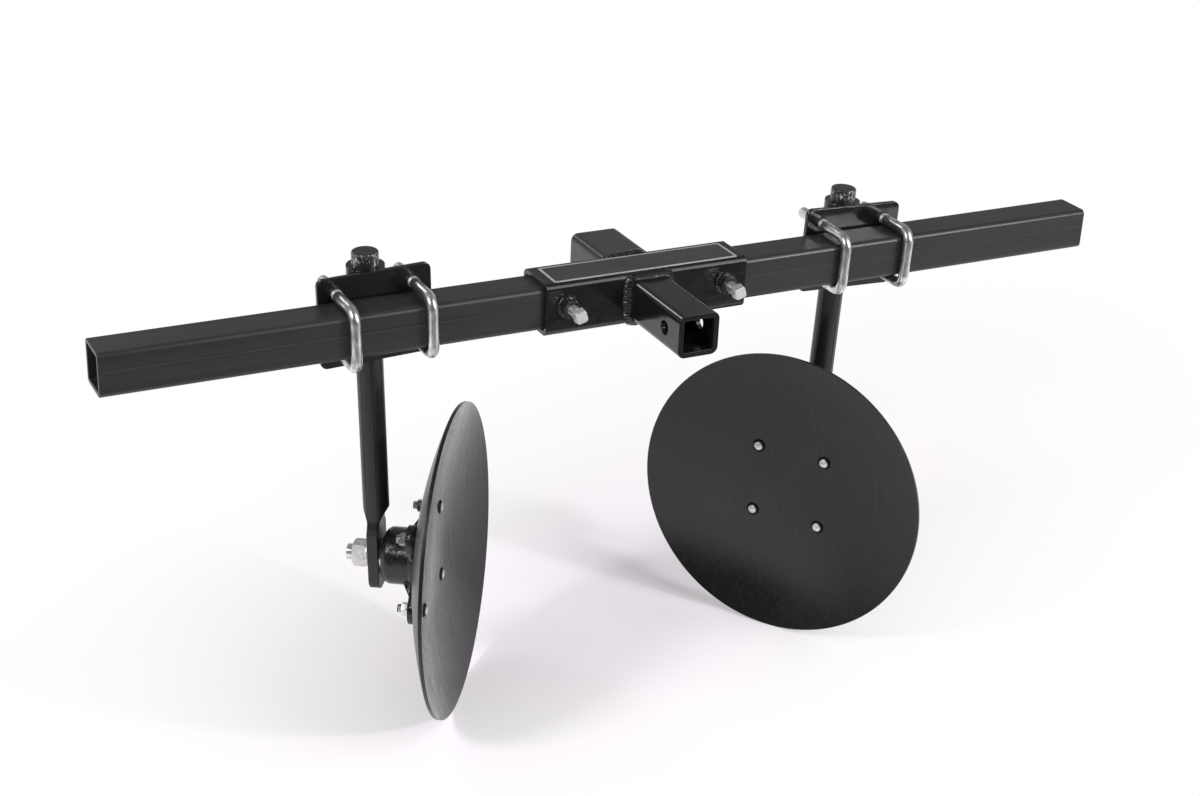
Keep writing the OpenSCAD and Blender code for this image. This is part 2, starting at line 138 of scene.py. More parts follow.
def head_seat(side):
    """A point and the axis of the plane under the heads of a disc's bolts."""
    flat_z = disc_profile(side)[3]
    return SPINDLE[side] @ Vector((0, 0, flat_z)), SPINDLE[side].to_3x3() @ Vector((0, 0, 1))


# ---------------------------------------------------------------- node trees

class NodeTree:
    """Fills the node tree of a material or the world. A value is a constant or another node's output."""

    # Where a Mix node keeps its two values and its result, by kind of data
    MIX_SOCKETS = {"FLOAT": (2, 3, 0), "VECTOR": (4, 5, 1), "RGBA": (6, 7, 2)}

    def __init__(self, owner):
        owner.use_nodes = True
        self.tree = owner.node_tree
        self.tree.nodes.clear()

    def node(self, kind, **settings):
        node = self.tree.nodes.new("ShaderNode" + kind)
        for key, value in settings.items():
            setattr(node, key, value)
        return node

    def feed(self, socket, value):
        """Gives an input a constant, or links it to another node's output."""
        if isinstance(value, bpy.types.NodeSocket):
            self.tree.links.new(value, socket)
        else:
            socket.default_value = value

    def feed_all(self, node, *values):
        for socket, value in zip(node.inputs, values):
            self.feed(socket, value)
        return node

    def calc(self, operation, *values):
        return self.feed_all(self.node("Math", operation=operation), *values).outputs[0]

    def vector(self, operation, *values):
        """The node itself, since some of these operations have their result in Value, others in Vector."""
        return self.feed_all(self.node("VectorMath", operation=operation), *values)

    def mix(self, kind, factor, a, b):
        """a where the factor is 0, b where it is 1."""
        node = self.node("Mix", data_type=kind)
        first, second, result = self.MIX_SOCKETS[kind]
        for place, value in ((0, factor), (first, a), (second, b)):
            self.feed(node.inputs[place], value)
        return node.outputs[result]

    def mix_shader(self, factor, a, b):
        return self.feed_all(self.node("MixShader"), factor, a, b).outputs[0]

    def spread(self, value, low, high, to_low, to_high, kind="LINEAR"):
        """Goes from to_low to to_high as the value goes from low to high, and no further."""
        node = self.node("MapRange", interpolation_type=kind)
        for name, limit in (("From Min", low), ("From Max", high), ("To Min", to_low), ("To Max", to_high)):
            node.inputs[name].default_value = limit
        self.feed(node.inputs["Value"], value)
        return node.outputs["Result"]

    def ramp(self, value, low, high, to_low=0, to_high=1):
        """As spread, but eased at both ends."""
        return self.spread(value, low, high, to_low, to_high, "SMOOTHSTEP")

    def split(self, vector):
        """The outputs X, Y and Z of a vector."""
        return self.feed_all(self.node("SeparateXYZ"), vector).outputs


# ---------------------------------------------------------------- materials

# Noise textures seldom leave this range
NOISE_LOW, NOISE_HIGH = 0.3, 0.7
# Heights between which the chips on the top ends of the shanks thicken
CHIPS_FROM, CHIPS_TO = 0.036, 0.060
# How far in front of the clamp plates the painted highlight on the U-bolts starts, and where it is full
HIGHLIGHT_FROM, HIGHLIGHT_TO = 9 * MM, 5 * MM
# How far out from the disc the painted shade at the foot of its bolt heads starts to fade, and where it
# ends
SHADE_FROM, SHADE_TO = 2.3 * MM, 3.0 * MM


class Finish(NodeTree):
    """A Principled material with procedural textures in the part's own space.

    Textures have their scale in cells per metre, and bumps their height in mm."""

    def __init__(self, name, metallic=0.0):
        self.mat = bpy.data.materials.new(name)
        super().__init__(self.mat)
        self.bsdf = self.node("BsdfPrincipled")
        self.bsdf.inputs["Metallic"].default_value = metallic
        self.feed(self.node("OutputMaterial").inputs["Surface"], self.bsdf.outputs[0])
        self.place = self.node("TexCoord").outputs["Object"]
        self.normal = None

    def texture(self, kind, scale, stretch=(1, 1, 1)):
        mapping = self.node("Mapping")
        mapping.inputs["Scale"].default_value = stretch
        self.feed(mapping.inputs["Vector"], self.place)
        node = self.node(kind)
        node.inputs["Scale"].default_value = scale
        self.feed(node.inputs["Vector"], mapping.outputs[0])
        return node

    def noise(self, scale, detail=2.0, stretch=(1, 1, 1), rough=0.5):
        node = self.texture("TexNoise", scale, stretch)
        node.inputs["Detail"].default_value = detail
        node.inputs["Roughness"].default_value = rough
        return node.outputs[0]

    def cells(self, scale):
        return self.texture("TexVoronoi", scale).outputs["Distance"]

    def between(self, noise, low, high):
        """A noise turned into a value between these two."""
        return self.spread(noise, NOISE_LOW, NOISE_HIGH, low, high)

    def shades(self, noise, dark, pale, low=NOISE_LOW, high=NOISE_HIGH):
        """A colour that goes from dark to pale as a noise goes from low to high."""
        return self.mix("RGBA", self.spread(noise, low, high, 0, 1), dark, pale)

    def upright(self):
        """1 on faces that stand up, 0 on those that lie flat."""
        normal = self.node("NewGeometry").outputs["Normal"]
        return self.spread(self.calc("ABSOLUTE", self.split(normal)["Z"]), 0.80, 0.95, 1, 0)

    def out_from(self, point, axis):
        """Distance from a plane through a point, along the plane's axis."""
        away = self.vector("SUBTRACT", self.place, tuple(point)).outputs[0]
        return self.vector("DOT_PRODUCT", away, tuple(axis)).outputs["Value"]

    def color(self, value):
        self.feed(self.bsdf.inputs["Base Color"], value)

    def rough(self, value):
        self.feed(self.bsdf.inputs["Roughness"], value)

    def bump(self, value, height, strength):
        node = self.node("Bump")
        node.inputs["Strength"].default_value = strength
        node.inputs["Distance"].default_value = height * MM
        self.feed(node.inputs["Height"], value)
        if self.normal is not None:
            self.feed(node.inputs["Normal"], self.normal)
        self.normal = node.outputs["Normal"]
        self.feed(self.bsdf.inputs["Normal"], self.normal)

    def dished(self, centre):
        """Shades both faces of a disc as one even dish round this centre, over its flat middle.

        Returns 1 on the hollow face and -1 on the back."""
        geometry = self.node("NewGeometry")
        inward = self.vector("SUBTRACT", tuple(centre), self.place).outputs[0]
        turn = self.node("VectorTransform", convert_from="OBJECT", convert_to="WORLD")
        self.feed(turn.inputs[0], inward)
        ideal = self.vector("NORMALIZE", turn.outputs[0]).outputs[0]
        facing = self.vector("DOT_PRODUCT", geometry.outputs["True Normal"], ideal).outputs["Value"]
        face = self.calc("SIGN", facing)
        signed = self.vector("SCALE", ideal)
        self.feed(signed.inputs["Scale"], face)
        # The rim's own narrow edge keeps its normal
        near = self.spread(self.calc("ABSOLUTE", facing), 0.80, 0.90, 0, 1)
        self.normal = self.mix("VECTOR", near, geometry.outputs["Normal"], signed.outputs[0])
        return face


def grey(level, warm=0.0):
    """Colour of this level, a share redder and less blue."""
    return (level * (1 + warm), level, level * (1 - warm), 1)


def satin_tube():
    """Baked satin coat on drawn square tube, with faint draw marks along it."""
    f = Finish("satin_tube")
    marks = f.noise(1.0, 4.0, (2.2, 150, 150), rough=0.6)
    f.color(f.shades(marks, grey(0.014), grey(0.024)))
    f.rough(f.between(f.noise(9.0, 3.0), 0.33, 0.42))
    f.bump(marks, 0.18, 0.6)
    f.bump(f.noise(700), 0.04, 0.5)
    return f.mat


def gloss_coat(name="gloss_coat", base=0.006, low=0.10, high=0.17):
    """Thick gloss enamel with a little orange peel."""
    f = Finish(name)
    f.color(f.shades(f.noise(14.0, 3.0), grey(base), grey(base * 1.6)))
    f.rough(f.between(f.noise(60, 3.0), low, high))
    f.bump(f.noise(90), 0.3, 0.5)
    f.bump(f.noise(420), 0.05, 0.6)
    return f.mat


def plate_coat():
    """Gloss coat on the flame-cut clamp plates."""
    f = Finish("plate_coat")
    f.color(f.shades(f.noise(14.0, 3.0), grey(0.006), grey(0.009)))
    f.rough(f.between(f.noise(60, 3.0), 0.12, 0.19))
    f.bump(f.noise(110, 3.0), 0.2, 0.5)
    f.bump(f.noise(420), 0.05, 0.6)
    return f.mat


def lumpy_coat(name, scale, dark, pale, shine, lump, grain):
    """Gloss paint over a rough surface. Shine is its least and most roughness, lump and grain are in mm."""
    f = Finish(name)
    lumps = f.noise(scale, 4.0, rough=0.65)
    f.color(f.shades(lumps, grey(dark), grey(pale), 0.35, 0.65))
    f.rough(f.between(f.noise(300), *shine))
    f.bump(lumps, lump, 0.8)
    f.bump(f.noise(900), grain, 0.6)
    return f.mat


def shank_coat():
    """Satin enamel over hot-rolled and forged bar: mill streaks, dents, and chips round the top end."""
    f = Finish("shank_coat")
    streaks = f.noise(1.0, 4.0, (260, 260, 10), rough=0.6)
    nicks = f.spread(f.noise(520, 3.0, rough=0.7), 0.67, 0.74, 0, 1)
    base = f.mix("RGBA", nicks, f.shades(streaks, grey(0.009), grey(0.018)), grey(0.16))
    # Hammer and handling marks where the bar stands out of its socket, none on its top face
    near_top = f.spread(f.split(f.place)["Z"], CHIPS_FROM, CHIPS_TO, 0.75, 1)
    patches = f.spread(f.noise(55), 0.40, 0.56, 0.86, 1)
    fleck = f.noise(560, 4.0, (1, 1, 0.4), rough=0.75)
    masked = f.calc("MULTIPLY", f.calc("MULTIPLY", near_top, f.upright()), patches)
    f.color(f.shades(f.calc("MULTIPLY", masked, fleck), base, grey(0.58), 0.505, 0.57))
    f.rough(f.spread(streaks, 0.25, 0.75, 0.30, 0.46))
    f.bump(streaks, 0.35, 0.7)
    f.bump(f.noise(160, 3.0), 0.4, 0.5)
    return f.mat


def disc_coat(side):
    """Thin satin coat on pressed blade steel, with fine grain, drawn streaks and dust specks."""
    f = Finish("disc_coat_" + side)
    face = f.dished(dish_centre(side))
    streaks = f.noise(1.0, 4.0, (330, 330, 16), rough=0.6)
    base = f.shades(f.noise(7.0, 3.0), grey(0.006), grey(0.010))
    base = f.shades(streaks, base, grey(0.016), 0.45, 0.75)
    specks = f.spread(f.cells(150), 0.05, 0.09, 1, 0)
    f.color(f.mix("RGBA", specks, base, grey(0.040)))
    # The back is duller than the face that the soil polishes
    back = f.spread(face, -1, 1, 1, 0)
    f.rough(f.calc("MAXIMUM", f.between(streaks, 0.10, 0.17), f.calc("MULTIPLY", back, 0.32)))
    # A film of dust on the face that only shows at a glancing angle
    film = f.spread(f.noise(1.0, 6.0, (110, 110, 8), rough=0.75), 0.35, 0.65, 0.10, 0.95)
    f.feed(f.bsdf.inputs["Sheen Weight"], f.calc("MULTIPLY", film, f.spread(back, 0, 1, 1, 0)))
    f.bsdf.inputs["Sheen Roughness"].default_value = 0.30
    f.bump(f.noise(1500, rough=0.6), 0.04, 0.7)
    f.bump(streaks, 0.08, 0.5)
    f.bump(f.noise(220, 3.0), 0.1, 0.4)
    return f.mat


def metal_grain(f, lines):
    """Bumps that every zinc finish has: its lines, and the crystals of the plating."""
    f.bump(lines, 0.12, 0.6)
    f.bump(f.noise(600), 0.03, 0.5)
    return f.mat


def zinc(name, stretch, tone, low, high):
    """Bright zinc plate over a surface drawn along one direction."""
    f = Finish(name, metallic=1.0)
    lines = f.noise(1.0, 5.0, stretch, rough=0.65)
    dull = f.shades(f.noise(70, 3.0), grey(tone, 0.01), grey(tone * 0.62, 0.015), 0.35, 0.7)
    f.color(f.shades(lines, dull, grey(tone * 0.72, 0.01), 0.42, 0.66))
    f.rough(f.between(lines, low, high))
    return metal_grain(f, lines)


def rod_plate(plate_y):
    """Zinc plate on U-bolt rod, drawn along it, with a painted highlight where a leg enters the plate."""
    f = Finish("zinc_rod", metallic=1.0)
    lines = f.noise(1.0, 5.0, (420, 60, 60), rough=0.65)
    dull = f.shades(f.noise(70, 3.0), grey(0.95), grey(0.60, 0.01), 0.35, 0.7)
    shade = f.shades(lines, dull, grey(0.42, 0.01), 0.45, 0.60)
    # Painted highlight: just in front of the plate the rod is painted white and made rougher, standing in
    # for the glints of its thread there
    painted_highlight = f.spread(f.split(f.place)["Y"], plate_y - HIGHLIGHT_FROM, plate_y - HIGHLIGHT_TO, 0, 1)
    f.color(f.mix("RGBA", painted_highlight, shade, grey(1.0)))
    f.rough(f.calc("MAXIMUM", f.between(lines, 0.26, 0.42), f.calc("MULTIPLY", painted_highlight, 0.55)))
    return metal_grain(f, lines)


def head_plate(side):
    """Frosted zinc on the disc bolts, with painted shade where each head meets the disc."""
    f = Finish("zinc_heads_" + side, metallic=1.0)
    lines = f.noise(500, 5.0, rough=0.65)
    shade = f.shades(lines, grey(0.92), grey(0.56, 0.01), 0.42, 0.66)
    # Painted shade: the foot of each head near the disc is painted dark, in place of the shade on its side
    # and at its contact with the disc
    painted_shade = f.spread(f.out_from(*head_seat(side)), SHADE_FROM, SHADE_TO, 1, 0)
    f.color(f.mix("RGBA", painted_shade, shade, grey(0.02)))
    f.rough(f.between(lines, 0.42, 0.56))
    return metal_grain(f, lines)


def rubber():
    """Moulded rubber of the hub seals."""
    f = Finish("seal_rubber")
    f.color(f.shades(f.noise(120, 3.0), grey(0.010), grey(0.022)))
    f.rough(f.between(f.noise(200, 3.0), 0.5, 0.7))
    f.bump(f.noise(900), 0.08, 0.5)
    return f.mat


def plate_face():
    """Face of the blank name plate: dark satin film."""
    f = Finish("plate_face")
    f.color(f.shades(f.noise(26, 3.0), grey(0.020), grey(0.030)))
    f.rough(f.between(f.noise(45), 0.26, 0.36))
    f.bump(f.noise(160), 0.06, 0.5)
    return f.mat


def plate_edge():
    """Silver border of the name plate, brushed along its length."""
    f = Finish("plate_edge", metallic=0.85)
    lines = f.noise(1.0, 4.0, (30, 900, 900), rough=0.6)
    f.color(f.shades(lines, grey(0.70), grey(0.90)))
    f.rough(f.between(lines, 0.34, 0.50))
    f.bump(lines, 0.03, 0.5)
    return f.mat


MATS = {
    "tube": satin_tube(),
    "gloss": gloss_coat(),
    "receiver": gloss_coat("receiver_coat", 0.020, 0.28, 0.36),
    "weld": lumpy_coat("weld_coat", 360, 0.005, 0.012, shine=(0.05, 0.14), lump=0.6, grain=0.08),
    "shank": shank_coat(),
    "disc_left": disc_coat("left"),
    "disc_right": disc_coat("right"),
    "cast": lumpy_coat("cast_coat", 190, 0.006, 0.02, shine=(0.10, 0.24), lump=0.9, grain=0.1),
    "zinc": zinc("zinc_plate", (260, 260, 260), 0.88, 0.22, 0.38),
    "heads_left": head_plate("left"),
    "heads_right": head_plate("right"),
    "bolt": zinc("zinc_bolt", (900, 900, 900), 1.0, 0.34, 0.66),
    "nut": zinc("zinc_nut", (260, 260, 260), 1.0, 0.48, 0.62),
    "rod": rod_plate(min(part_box(s + "_clamp_plate")[0].y for s in SIDES)),
    "plate": plate_coat(),
    "seal": rubber(),
    "plate_face": plate_face(),
    "plate_edge": plate_edge(),
}

NODE_FINISH = {
    "toolbar": "tube", "hitch_sleeve": "gloss", "hitch_tube": "gloss", "rear_receiver": "receiver",
    "sleeve_nuts": "cast", "sleeve_bolts": "bolt",
}
SIDE_FINISH = {
    "clamp_plate": "plate", "socket": "gloss", "socket_nuts": "cast", "socket_bolts": "bolt",
    "u_bolt_outer": "rod", "u_bolt_inner": "rod", "u_bolt_nuts": "zinc",
    "shank": "shank", "spindle": "zinc", "spindle_nut": "nut",
    "hub": "cast", "hub_seal": "seal", "grease_fitting": "nut",
    "disc_nuts": "zinc",
}
for s in SIDES:
    NODE_FINISH.update({f"{s}_{k}": v for k, v in SIDE_FINISH.items()})
    NODE_FINISH[s + "_disc"] = "disc_" + s
    NODE_FINISH[s + "_disc_bolts"] = "heads_" + s


def set_material(obj, key):
    obj.data.materials.clear()
    obj.data.materials.append(MATS[key])


# ---------------------------------------------------------------- CAD nodes

# Width of the worn or rolled edge on each kind of part, in mm
EDGE = {
    "toolbar": 0.7, "hitch_sleeve": 0.7, "hitch_tube": 0.7, "rear_receiver": 0.7,
    "clamp_plate": 0.9, "socket": 0.8, "shank": 0.8, "spindle": 0.4,
    "sleeve_bolts": 0.7, "socket_bolts": 0.7, "disc": 0.5,
    "u_bolt_outer": 0.9, "u_bolt_inner": 0.9, "u_bolt_nuts": 0.3,
}
# Corners this close are one, faces that turn less than FLAT are one, and edges sharper than SHARP are
# rounded
SAME_CORNER = 0.01 * MM
FLAT = math.radians(0.4)
SHARP = math.radians(32)
# How far the shading of a big face wins over that of the narrow faces beside it: 50 is even
BIG_FACES = 70


def edge_width(node):
    key = node.split("_", 1)[1] if node.split("_", 1)[0] in SIDES else node
    return EDGE.get(key, 0.0) * MM


def dress(node):
    """Gives a CAD node its finish and rounded edges."""
    obj = NODES[node]
    set_material(obj, NODE_FINISH[node])
    obj.data.polygons.foreach_set("use_smooth", [True] * len(obj.data.polygons))
    weld = obj.modifiers.new("weld", "WELD")
    weld.merge_threshold = SAME_CORNER
    width = edge_width(node)
    if width:
        flat = obj.modifiers.new("flats", "DECIMATE")
        flat.decimate_type = "DISSOLVE"
        flat.angle_limit = FLAT
        bevel = obj.modifiers.new("edges", "BEVEL")
        bevel.width = width
        bevel.segments = 2
        bevel.limit_method = "ANGLE"
        bevel.angle_limit = SHARP
        bevel.use_clamp_overlap = False
    normals = obj.modifiers.new("normals", "WEIGHTED_NORMAL")
    normals.mode = "FACE_AREA"
    normals.weight = BIG_FACES


for name in NODES:
    dress(name)


# ---------------------------------------------------------------- mesh helpers

def mesh_piece(name, verts, faces, body, finish, smooth=True):
    """A piece of the part that has no CAD node."""
    mesh = bpy.data.meshes.new(name)
    mesh.from_pydata([tuple(v) for v in verts], [], faces)
    mesh.validate()
    mesh.polygons.foreach_set("use_smooth", [smooth] * len(mesh.polygons))
    mesh.update()
    obj = bpy.data.objects.new(name, mesh)
    bpy.context.scene.collection.objects.link(obj)
    set_material(obj, finish)
    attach(obj, body)
    return obj


def grid_faces(rows, cols, close_rows, close_cols, flip=False):
    """Four-cornered faces over points that are listed row by row."""
    faces = []
    for i in range(rows if close_rows else rows - 1):
        for j in range(cols if close_cols else cols - 1):
            a, b = i * cols + j, i * cols + (j + 1) % cols
            c, d = ((i + 1) % rows) * cols + (j + 1) % cols, ((i + 1) % rows) * cols + j
            faces.append((a, d, c, b) if flip else (a, b, c, d))
    return faces


def clamped(t):
    return max(0.0, min(1.0, t))


def smoothstep(t):
    t = clamped(t)
    return t * t * (3 - 2 * t)


def evenly(start, end, steps):
    """Numbers from start to end in equal steps."""
    return [start + (end - start) * i / steps for i in range(steps + 1)]


def across_from(axis):
    """Two directions square to an axis and to each other."""
    side = axis.orthogonal().normalized()
    return side, axis.cross(side)


# ---------------------------------------------------------------- weld beads

# Length of each fillet weld's leg
TUBE_WELD = 8.5 * MM
RECEIVER_SIDE_WELD = 6 * MM
RECEIVER_TOP_WELD = 9.4 * MM
NUT_WELD = 4.2 * MM
SOCKET_WELD = 6.5 * MM

# Points across a bead's face, how far its root lies inside the corner, and how far its toes dip in
BEAD_POINTS = 9
BEAD_ROOT = 0.6 * MM
TOE_DIP = 0.25 * MM
# How far a bead's face is hollowed, and how square its section is
BEAD_HOLLOW = 0.16
BEAD_SQUARE = 1.15
# How far a ripple leads in the middle of the bead, as a part of a ripple, where the pool ran ahead
RIPPLE_LEAD = 0.38
# Leg in the dip between two ripples, how much a ripple adds, how round it is, and how much ripples differ
RIPPLE_DIP = 0.93
RIPPLE_RISE = 0.10
RIPPLE_ROUND = 0.7
RIPPLE_SPREAD = 0.07
# Leg at the very end of an open bead
END_LEG = 0.35

# Points along the welds on the receiver, on the sockets and round each nut
RECEIVER_STEPS = 90
SOCKET_STEPS = 110
NUT_STEPS = 120
# Radius of the hitch tube's corners, as the weld goes round them
HITCH_TUBE_CORNER = 9 * MM
# Bare corner at each end of the receiver's upright and level welds
RECEIVER_END = 8 * MM
RECEIVER_CORNER = 4 * MM
# Root of the receiver's level welds, in from the sleeve's back and from the receiver's top, and the lean of
# their legs in the groove of its rounded corner
GROOVE_IN = 0.6 * MM
GROOVE_DOWN = 6.6 * MM
GROOVE_LEAN = (0.62, 0.78)
# Half the width of the web between a socket and its clamp plate
HALF_WEB = 13.5 * MM


def run_lengths(points, closed):
    """Distance along a line to each of its points, and its whole length."""
    lengths = [0.0]
    for before, point in zip(points, points[1:]):
        lengths.append(lengths[-1] + (point - before).length)
    return lengths, lengths[-1] + ((points[0] - points[-1]).length if closed else 0)


def bead(name, stations, closed, size, seed, ripple=3.2 * MM):
    """A fillet weld. Each station is (corner point, direction up one face, direction along the other)."""
    rng = random.Random(seed)
    stations = [(Vector(p), Vector(a).normalized(), Vector(b).normalized()) for p, a, b in stations]
    points = [p for p, a, b in stations]
    lengths, total = run_lengths(points, closed)
    ripples = max(3, round(total / ripple))
    wobble = [rng.uniform(-1, 1) for _ in range(ripples + 2)]
    verts = []
    for (p, a, b), length in zip(stations, lengths):
        for k in range(BEAD_POINTS):
            t = k / (BEAD_POINTS - 1)
            bow = math.sin(math.pi * t)
            phase = length / total * ripples + RIPPLE_LEAD * bow
            step = phase - math.floor(phase)
            n = math.floor(phase) % ripples if closed else min(math.floor(phase), ripples)
            rise = RIPPLE_DIP + RIPPLE_RISE * math.sin(math.pi * step) ** RIPPLE_ROUND
            leg = size * (1 + RIPPLE_SPREAD * wobble[n]) * rise
            if not closed:
                to_end = min(length, total - length) / size
                leg *= END_LEG + (1 - END_LEG) * math.sqrt(smoothstep(to_end))
            reach = leg * (1 - BEAD_HOLLOW * bow)
            angle = t * math.pi / 2
            up = math.cos(angle) ** BEAD_SQUARE * reach
            along = math.sin(angle) ** BEAD_SQUARE * reach
            verts.append(p + a * up + b * along - (a + b) * ((1 - bow) ** 4 * TOE_DIP))
        verts.append(p - (a + b) * BEAD_ROOT)
    cols = BEAD_POINTS + 1
    p, a, b = stations[0]
    flip = a.cross(b).dot(points[1] - points[0]) < 0
    faces = grid_faces(len(points), cols, closed, True, flip)
    if not closed:
        start = range(cols)
        end = range((len(points) - 1) * cols, len(points) * cols)
        faces += [tuple(start), tuple(reversed(end))] if flip else [tuple(reversed(start)), tuple(end)]
    mesh_piece(name, verts, faces, "frame", "weld")


def square_path(half, radius):
    """Points and outward normals round a rounded square in its own plane."""
    point_gap = 0.6 * MM
    arc_steps = max(6, int(radius * math.pi / 2 / point_gap))
    side_steps = max(4, int(2 * (half - radius) / point_gap))
    straight = half - radius
    local = [((half, -straight + 2 * straight * i / side_steps), 0.0) for i in range(side_steps)]
    for i in range(arc_steps):
        u = math.pi / 2 * i / arc_steps
        local.append(((straight + radius * math.cos(u), straight + radius * math.sin(u)), u))
    path = []
    for quarter in range(4):
        turn = quarter * math.pi / 2
        c, s = math.cos(turn), math.sin(turn)
        for (x, y), u in local:
            path.append(((x * c - y * s, x * s + y * c), (math.cos(u + turn), math.sin(u + turn))))
    return path


def hitch_tube_weld():
    """All round the hitch tube where it meets the sleeve."""
    lo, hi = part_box("hitch_tube")
    stations = [
        ((x, SLEEVE_LO.y, z), (0, -1, 0), (nx, 0, nz))
        for (x, z), (nx, nz) in square_path((hi.x - lo.x) / 2, HITCH_TUBE_CORNER)
    ]
    bead("hitch_tube_weld", stations, True, TUBE_WELD, seed=3)


def receiver_welds():
    """Up both sides of the receiver, and wider beads in the rounded corners over and under it."""
    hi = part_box("rear_receiver")[1]
    y = SLEEVE_HI.y
    reach = hi.z - RECEIVER_END
    for tag, sign in (("left", -1), ("right", 1)):
        stations = [
            ((sign * hi.x, y, z), (0, 1, 0), (sign, 0, 0)) for z in evenly(-reach, reach, RECEIVER_STEPS)
        ]
        bead(f"receiver_weld_{tag}", stations, False, RECEIVER_SIDE_WELD, seed=11 + sign)
    reach = hi.x - RECEIVER_CORNER
    back, up = GROOVE_LEAN
    for tag, sign in (("top", 1), ("bottom", -1)):
        z = sign * (hi.z - GROOVE_DOWN)
        stations = [
            ((x, y - GROOVE_IN, z), (0, -back, sign * up), (0, back, sign * up))
            for x in evenly(-reach, reach, RECEIVER_STEPS)
        ]
        bead(f"receiver_weld_{tag}", stations, False, RECEIVER_TOP_WELD, seed=21 + sign)


def sleeve_nut_welds():
    """Round the foot of both nuts on the sleeve's front."""
    axis = Vector((0, -1, 0))
    side, other = across_from(axis)
    for tag, seed in (("left", 30), ("right", 32)):
        stations = []
        for i in range(NUT_STEPS):
            a = 2 * math.pi * i / NUT_STEPS
            out = side * math.cos(a) + other * math.sin(a)
            stations.append((NUT_MIDDLES[tag] + out * NUT_R, axis, out))
        bead(f"sleeve_nut_weld_{tag}", stations, True, NUT_WELD, seed, ripple=4.0 * MM)


def socket_welds():
    """Down both sides of each socket's web on its clamp plate."""
    for side in SIDES:
        to_part = CLAMP[side]
        turn = to_part.to_3x3()
        lo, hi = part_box(side + "_clamp_plate")
        plate_back = hi.y - BAR_MID.y
        reach = (hi.z - lo.z) / 2 - SOCKET_WELD
        for tag, sign in (("outer", 1), ("inner", -1)):
            stations = [
                (to_part @ Vector((sign * HALF_WEB, plate_back, z)),
                 turn @ Vector((0, 1, 0)), turn @ Vector((sign, 0, 0)))
                for z in evenly(-reach, reach, SOCKET_STEPS)
            ]
            seed = 41 + sign + (side == "left") * 5
            bead(f"{side}_socket_weld_{tag}", stations, False, SOCKET_WELD, seed)


hitch_tube_weld()
receiver_welds()
sleeve_nut_welds()
socket_welds()


# ---------------------------------------------------------------- threads

# Radius and thread pitch of the half inch rod that U-bolts and set bolts are made of
ROD_R = 6.35 * MM
ROD_PITCH = 1.95 * MM
SPINDLE_PITCH = 2.1 * MM
DISC_BOLT_PITCH = 1.5 * MM
# Points round a thread and along each turn of it
THREAD_AROUND = 28
THREAD_PER_TURN = 7
# Its root lies this far inside the rod, and this share of the pitch is flat at root and at crest
THREAD_ROOT = 0.06 * MM
THREAD_FLAT = 0.12
# Plain end behind the thread of a U-bolt, a spindle and a disc bolt
ROD_END = 1.2 * MM
SPINDLE_END = 1.0 * MM
DISC_BOLT_END = 0.6 * MM
# Thread of a U-bolt's leg that shows in front of the clamp plate, and the depth of its ridges
FRONT_LENGTH = 6.5 * MM
FRONT_DEPTH = 0.5 * MM
# Thickness of a set bolt's head
SET_HEAD = 12 * MM
# Points further apart than this belong to different disc bolts
BOLT_REACH = 20 * MM


def thread(name, start, end, radius, pitch, body, depth=0.34 * MM):
    """Rolled thread: ridges that stand a little proud of the plain rod, run out at both ends."""
    axis = (end - start).normalized()
    side, other = across_from(axis)
    length = (end - start).length
    rows = int(length / pitch * THREAD_PER_TURN) + 1
    verts = []
    for s in evenly(0, length, rows - 1):
        fade = smoothstep(min(s, length - s) / pitch)
        for j in range(THREAD_AROUND):
            a = 2 * math.pi * j / THREAD_AROUND
            phase = s / pitch - j / THREAD_AROUND
            ridge = abs(2 * (phase - math.floor(phase)) - 1)
            ridge = clamped((ridge - THREAD_FLAT) / (1 - 2 * THREAD_FLAT))
            r = radius - THREAD_ROOT + ridge * depth * fade
            verts.append(start + axis * s + (side * math.cos(a) + other * math.sin(a)) * r)
    faces = grid_faces(rows, THREAD_AROUND, False, True, True)
    faces.append(tuple(range(THREAD_AROUND)))
    faces.append(tuple(reversed(range((rows - 1) * THREAD_AROUND, rows * THREAD_AROUND))))
    return mesh_piece(name, verts, faces, body, "zinc")


def u_bolt_threads(side):
    """Threads on each leg: behind the nut, and a short stretch in front of the clamp plate."""
    to_part = CLAMP[side]
    plate_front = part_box(side + "_clamp_plate")[0].y - BAR_MID.y
    nut_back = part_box(side + "_u_bolt_nuts")[1].y - BAR_MID.y

    def on_clamp(x, y, z):
        return to_part @ Vector((x, y, z))

    for place in ("outer", "inner"):
        node = f"{side}_u_bolt_{place}"
        lo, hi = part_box(node)
        leg_x = (to_part.inverted() @ ((lo + hi) / 2)).x
        leg_z = (hi.z - lo.z) / 2 - ROD_R
        tail = hi.y - BAR_MID.y - ROD_END
        for tag, z in (("top", leg_z), ("bottom", -leg_z)):
            thread(f"{node}_thread_{tag}", on_clamp(leg_x, nut_back, z), on_clamp(leg_x, tail, z),
                   ROD_R, ROD_PITCH, "frame")
            front = thread(f"{node}_thread_{tag}_front", on_clamp(leg_x, plate_front - FRONT_LENGTH, z),
                           on_clamp(leg_x, plate_front, z), ROD_R, ROD_PITCH, "frame", FRONT_DEPTH)
            set_material(front, "nut")


def set_bolt_threads():
    """Threads of the sleeve's set bolts between their nuts and their heads."""
    head_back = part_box("sleeve_bolts")[0].y + SET_HEAD
    for tag, centre in NUT_MIDDLES.items():
        start = Vector((centre.x, NUTS_LO.y, centre.z))
        end = Vector((centre.x, head_back, centre.z))
        thread(f"sleeve_bolt_thread_{tag}", start, end, ROD_R, ROD_PITCH, "frame")


